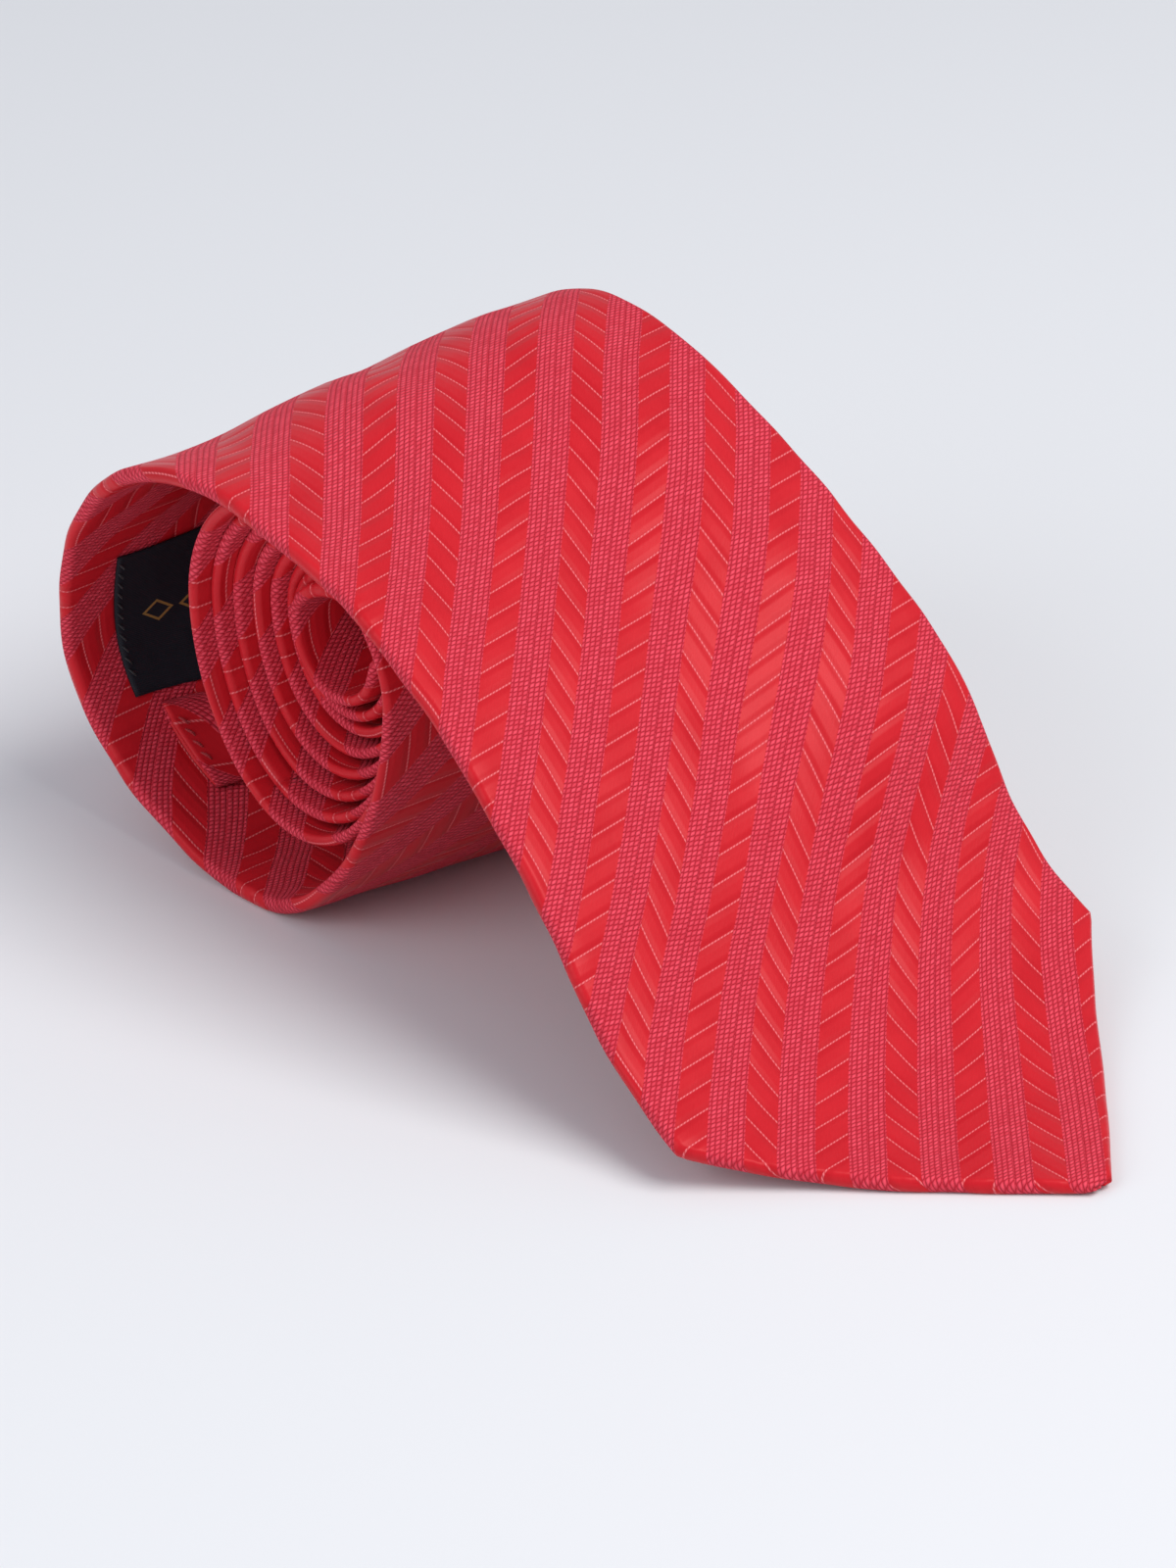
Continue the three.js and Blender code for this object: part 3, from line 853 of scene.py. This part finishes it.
def folded_band(name, material):
    """The keeper band: a strip of the face cloth folded into a flat tube that lies across the tie.

    Round the tube runs a flattened circle, whose sides are eased outward so that its long sides
    are nearly straight.  Its thickness swells by a squared cosine between its two tacked ends,
    and its edges wander a little.
    """
    y = np.linspace(-BAND_HALF, BAND_HALF, BAND_COLUMNS)[:, None]
    angle = np.linspace(0, 2 * np.pi, BAND_RING, endpoint=False)[None, :]
    cosine, sine = np.cos(angle), np.sin(angle)
    middle, half = sum(BAND_S) / 2, (BAND_S[1] - BAND_S[0]) / 2
    swell = BAND_THICK / 2 + BAND_PUFF * np.cos(np.pi * y / 2 / BAND_HALF) ** 2
    wander = BAND_WANDER * ripple(y, 0 * y, BAND_SEED)
    s = middle + wander + half * np.sign(cosine) * np.abs(cosine) ** BAND_EASE
    n = swell * (sine - 1) - BACK_GAP
    n = n - thickness(s) / 2 + BAND_WANDER * BAND_CREASE * ripple(y, 2 * s, CREASE_SEED)
    round_ring = angle / np.pi * half * 2 + 0 * y
    uv = np.stack([y + 0 * angle, BAND_S[0] + round_ring], -1) * MM
    return grid_piece(name, on_roll(s, y + 0 * s, n), uv, material, closed=True)


keeper = thicken(folded_band("keeper_band", silk), CLOTH)


STITCH_STEPS = 9
STITCH_SIDES = 6
STITCH_ARCH = 1.4                # height of the arch, in thread radii
STITCH_END = 0.15                # radius left at a stitch's two ends, as a share
END_FACES = ((0, 3, 2, 1), (0, 5, 4, 3))   # the two faces that close a ring of six points
HEM_STITCH = 2.2                 # pitch of the stitches along an edge
HEM_LENGTH = 0.75                # a stitch's length, as a share of the pitch
HEM_LEAN = 0.5
TACK_ROWS = 9
TACK_WIDTH = 1.6
TACK_JITTER = 0.25
TACK_JITTER_TURN = 2.4
TACK_SLANT = 0.1
TACK_DEPTH = 0.1
TACK_THREAD, LABEL_THREAD, BAND_THREAD, SLIP_THREAD = 0.16, 0.16, 0.2, 0.14
LABEL_STITCH_S = (222, 246)
BAND_STITCH_S = (254.4, 263.6)
SLIP_FROM_TACK, SLIP_TO_LABEL = 8, 4
SLIP_PITCH = 7.0
SLIP_LENGTH = 4.5
SLIP_REACH = 0.8                 # how far a slip stitch bites to each side of the groove


def stitches(name, ends, depth, radius, material):
    """Hand stitches: each a short bar of thread from (s, y) to (s, y) that arches off the cloth.

    A bar is a tube along a line whose height is half a sine wave, with a ring of points round
    each step and a radius that closes at both ends as a circle does.
    """
    ends = np.asarray(ends, float)
    count = len(ends)
    t = np.linspace(0, 1, STITCH_STEPS)[None, :]
    s = ends[:, 0, None] * (1 - t) + ends[:, 2, None] * t
    y = ends[:, 1, None] * (1 - t) + ends[:, 3, None] * t
    n = back_of(s) - depth - STITCH_ARCH * radius * np.sin(np.pi * t)
    path = on_roll(s, y, n)
    out = path - on_roll(s, y, n + 1)
    along = np.gradient(path, axis=1)
    along /= np.linalg.norm(along, axis=-1, keepdims=True)
    out -= (out * along).sum(-1, keepdims=True) * along
    out /= np.linalg.norm(out, axis=-1, keepdims=True)
    side = np.cross(along, out)
    closing = STITCH_END + (1 - STITCH_END) * np.sqrt(1 - (2 * t - 1) ** 2)
    reach = radius * closing[..., None, None]
    angle = np.linspace(0, 2 * np.pi, STITCH_SIDES, endpoint=False)[:, None]
    ring = np.cos(angle) * out[:, :, None] + np.sin(angle) * side[:, :, None]
    points = path[:, :, None] + reach * ring
    k, i, j = np.meshgrid(
        np.arange(count), np.arange(STITCH_STEPS - 1), np.arange(STITCH_SIDES), indexing="ij"
    )
    base = (k * STITCH_STEPS + i) * STITCH_SIDES
    near, far = base + j, base + (j + 1) % STITCH_SIDES
    corners = np.stack([near, far, far + STITCH_SIDES, near + STITCH_SIDES], -1).reshape(-1, 4)
    caps = (k * STITCH_STEPS * STITCH_SIDES)[:, 0, :1] + np.array(END_FACES).reshape(1, -1)
    last = (STITCH_STEPS - 1) * STITCH_SIDES
    ends_near = caps.reshape(-1, 4)
    ends_far = ends_near[:, ::-1] + last
    corners = np.concatenate([corners, ends_near, ends_far])
    uv = np.stack(np.broadcast_arrays(s[..., None], y[..., None] + 0 * angle.T), -1)
    uv = uv.reshape(-1, 2) * MM
    return mesh_piece(name, points.reshape(-1, 3), corners, uv, material)


def edge_stitches(name, s0, s1, y, depth, radius, material):
    """A row of short stitches along s, over the edge of a strip at y."""
    starts = np.arange(s0, s1 - HEM_STITCH / 2, HEM_STITCH)
    lean = HEM_LEAN * np.ones_like(starts)
    ends = np.stack([starts, y - lean, starts + HEM_STITCH * HEM_LENGTH, y + lean], -1)
    return stitches(name, ends, depth, radius, material)


def bar_tack(name, s0):
    """A bar tack: threads laid side by side across the tie where the flaps meet."""
    row = np.linspace(0, TACK_WIDTH, TACK_ROWS)
    jitter = TACK_JITTER * np.sin(np.arange(TACK_ROWS) * TACK_JITTER_TURN)
    half = TACK_LENGTH / 2
    ends = np.stack([s0 + row, -half + jitter, s0 + row + TACK_SLANT, half + jitter], -1)
    return stitches(name, ends, TACK_DEPTH, TACK_THREAD, red_thread)


on_label = BACK_GAP + LABEL_THICK
on_band = BACK_GAP + BAND_THICK
label_y = LABEL_HALF - STITCH_INSET / 2
band_y = BAND_HALF - STITCH_INSET
label_near = edge_stitches(
    "label_stitches_near", *LABEL_STITCH_S, -label_y, on_label, LABEL_THREAD, black_thread
)
label_far = edge_stitches(
    "label_stitches_far", *LABEL_STITCH_S, label_y, on_label, LABEL_THREAD, black_thread
)
band_near = edge_stitches(
    "band_stitches_near", *BAND_STITCH_S, -band_y, on_band, BAND_THREAD, red_thread
)
band_far = edge_stitches(
    "band_stitches_far", *BAND_STITCH_S, band_y, on_band, BAND_THREAD, red_thread
)
blade_tack = bar_tack("blade_tack_thread", BLADE_V_END)
tail_tack = bar_tack("tail_tack_thread", END_S - TAIL_V_LENGTH - TACK_WIDTH)
slip_starts = np.arange(BLADE_V_END + SLIP_FROM_TACK, LABEL_S[0] - SLIP_TO_LABEL, SLIP_PITCH)
slip_side = SLIP_REACH * np.where(np.arange(len(slip_starts)) % 2, 1.0, -1.0)
slip_ends = np.stack([slip_starts, -slip_side, slip_starts + SLIP_LENGTH, slip_side], -1)
slip = stitches("slip_stitches", slip_ends, 0, SLIP_THREAD, red_thread)

# ---------------- floor and light ----------------
FLOOR_HALF = 4000
FLOOR_DROP = 0.15
FLOOR_COLOUR = (0.76, 0.775, 0.795, 1)
FLOOR_ROUGH = 0.8
LIT_POINT = (0, 0, 0.03)         # metres, as are the places and sizes of the lights
KEY_PLACE, KEY_SIZE, KEY_WATTS = (0.8, 0.3, 1.25), 0.9, 18
KEY_COLOUR = (1.0, 0.98, 0.965)
FILL_PLACE, FILL_SIZE, FILL_WATTS = (-0.15, -1.3, 0.75), 1.1, 8
FILL_COLOUR = (0.94, 0.96, 1.0)
WORLD_COLOUR = (0.88, 0.91, 1.0, 1)
WORLD_STRENGTH = 0.44
floor_material, floor_start = new_material("floor_paper")
surface(floor_start, FLOOR_COLOUR, FLOOR_ROUGH, None, {"Specular IOR Level": 0.2})
floor_line = np.linspace(-FLOOR_HALF, FLOOR_HALF, 3)
floor_x, floor_y = np.meshgrid(floor_line, floor_line, indexing="ij")
floor = grid_piece(
    "floor", np.stack([floor_x, floor_y, 0 * floor_x - FLOOR_DROP], -1)[:, ::-1],
    np.stack([floor_x, floor_y], -1) * MM, floor_material,
)


def soft_light(name, place, target, size, watts, colour):
    """A square softbox at place, in metres, facing target."""
    data = bpy.data.lights.new(name, "AREA")
    data.shape = "SQUARE"
    data.size = size
    data.energy = watts
    data.color = colour
    lamp = bpy.data.objects.new(name, data)
    lamp.location = place
    lamp.rotation_euler = (Vector(place) - Vector(target)).to_track_quat("Z", "Y").to_euler()
    bpy.context.scene.collection.objects.link(lamp)


soft_light("key", KEY_PLACE, LIT_POINT, KEY_SIZE, KEY_WATTS, KEY_COLOUR)
soft_light("fill", FILL_PLACE, LIT_POINT, FILL_SIZE, FILL_WATTS, FILL_COLOUR)
world = bpy.data.worlds.new("studio")
world.use_nodes = True
background = world.node_tree.nodes["Background"]
background.inputs["Color"].default_value = WORLD_COLOUR
background.inputs["Strength"].default_value = WORLD_STRENGTH
bpy.context.scene.world = world

# ---------------- bodies and cuts -----------------------
for piece in (blade_cloth, blade_pad, blade_tip):
    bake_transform(piece)
for piece in (
    neck_cloth, tail_cloth, tail_pad, tail_tip, label, keeper, label_near, label_far,
    band_near, band_far, blade_tack, tail_tack, slip,
):
    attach(piece, "roll")
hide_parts("blade_shell_free", "blade_shell_rolled")
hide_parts("neck_shell")
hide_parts("tail_shell")
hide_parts("interlining_free", "interlining_rolled")
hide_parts("interlining_tail")
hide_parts("blade_tipping")
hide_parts("tail_tipping")
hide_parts("keeper_label")
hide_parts("keeper_loop")
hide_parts("label_stitch_near")
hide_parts("label_stitch_far")
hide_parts("loop_tack_near")
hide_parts("loop_tack_far")
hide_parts("blade_bar_tack")
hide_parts("tail_bar_tack")
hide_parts("slip_stitch")
for piece, s in ((blade_cloth, blade_s), (neck_cloth, neck_s), (tail_cloth, tail_s)):
    width, length, area = flat_cut(s)
for piece, s, around in (
    (blade_pad, blade_pad_s, blade_cloth), (tail_pad, tail_pad_s, tail_cloth),
    (blade_tip, blade_tip_s, blade_cloth), (tail_tip, tail_tip_s, tail_cloth),
):
    width, length, area = lining_cut(s)
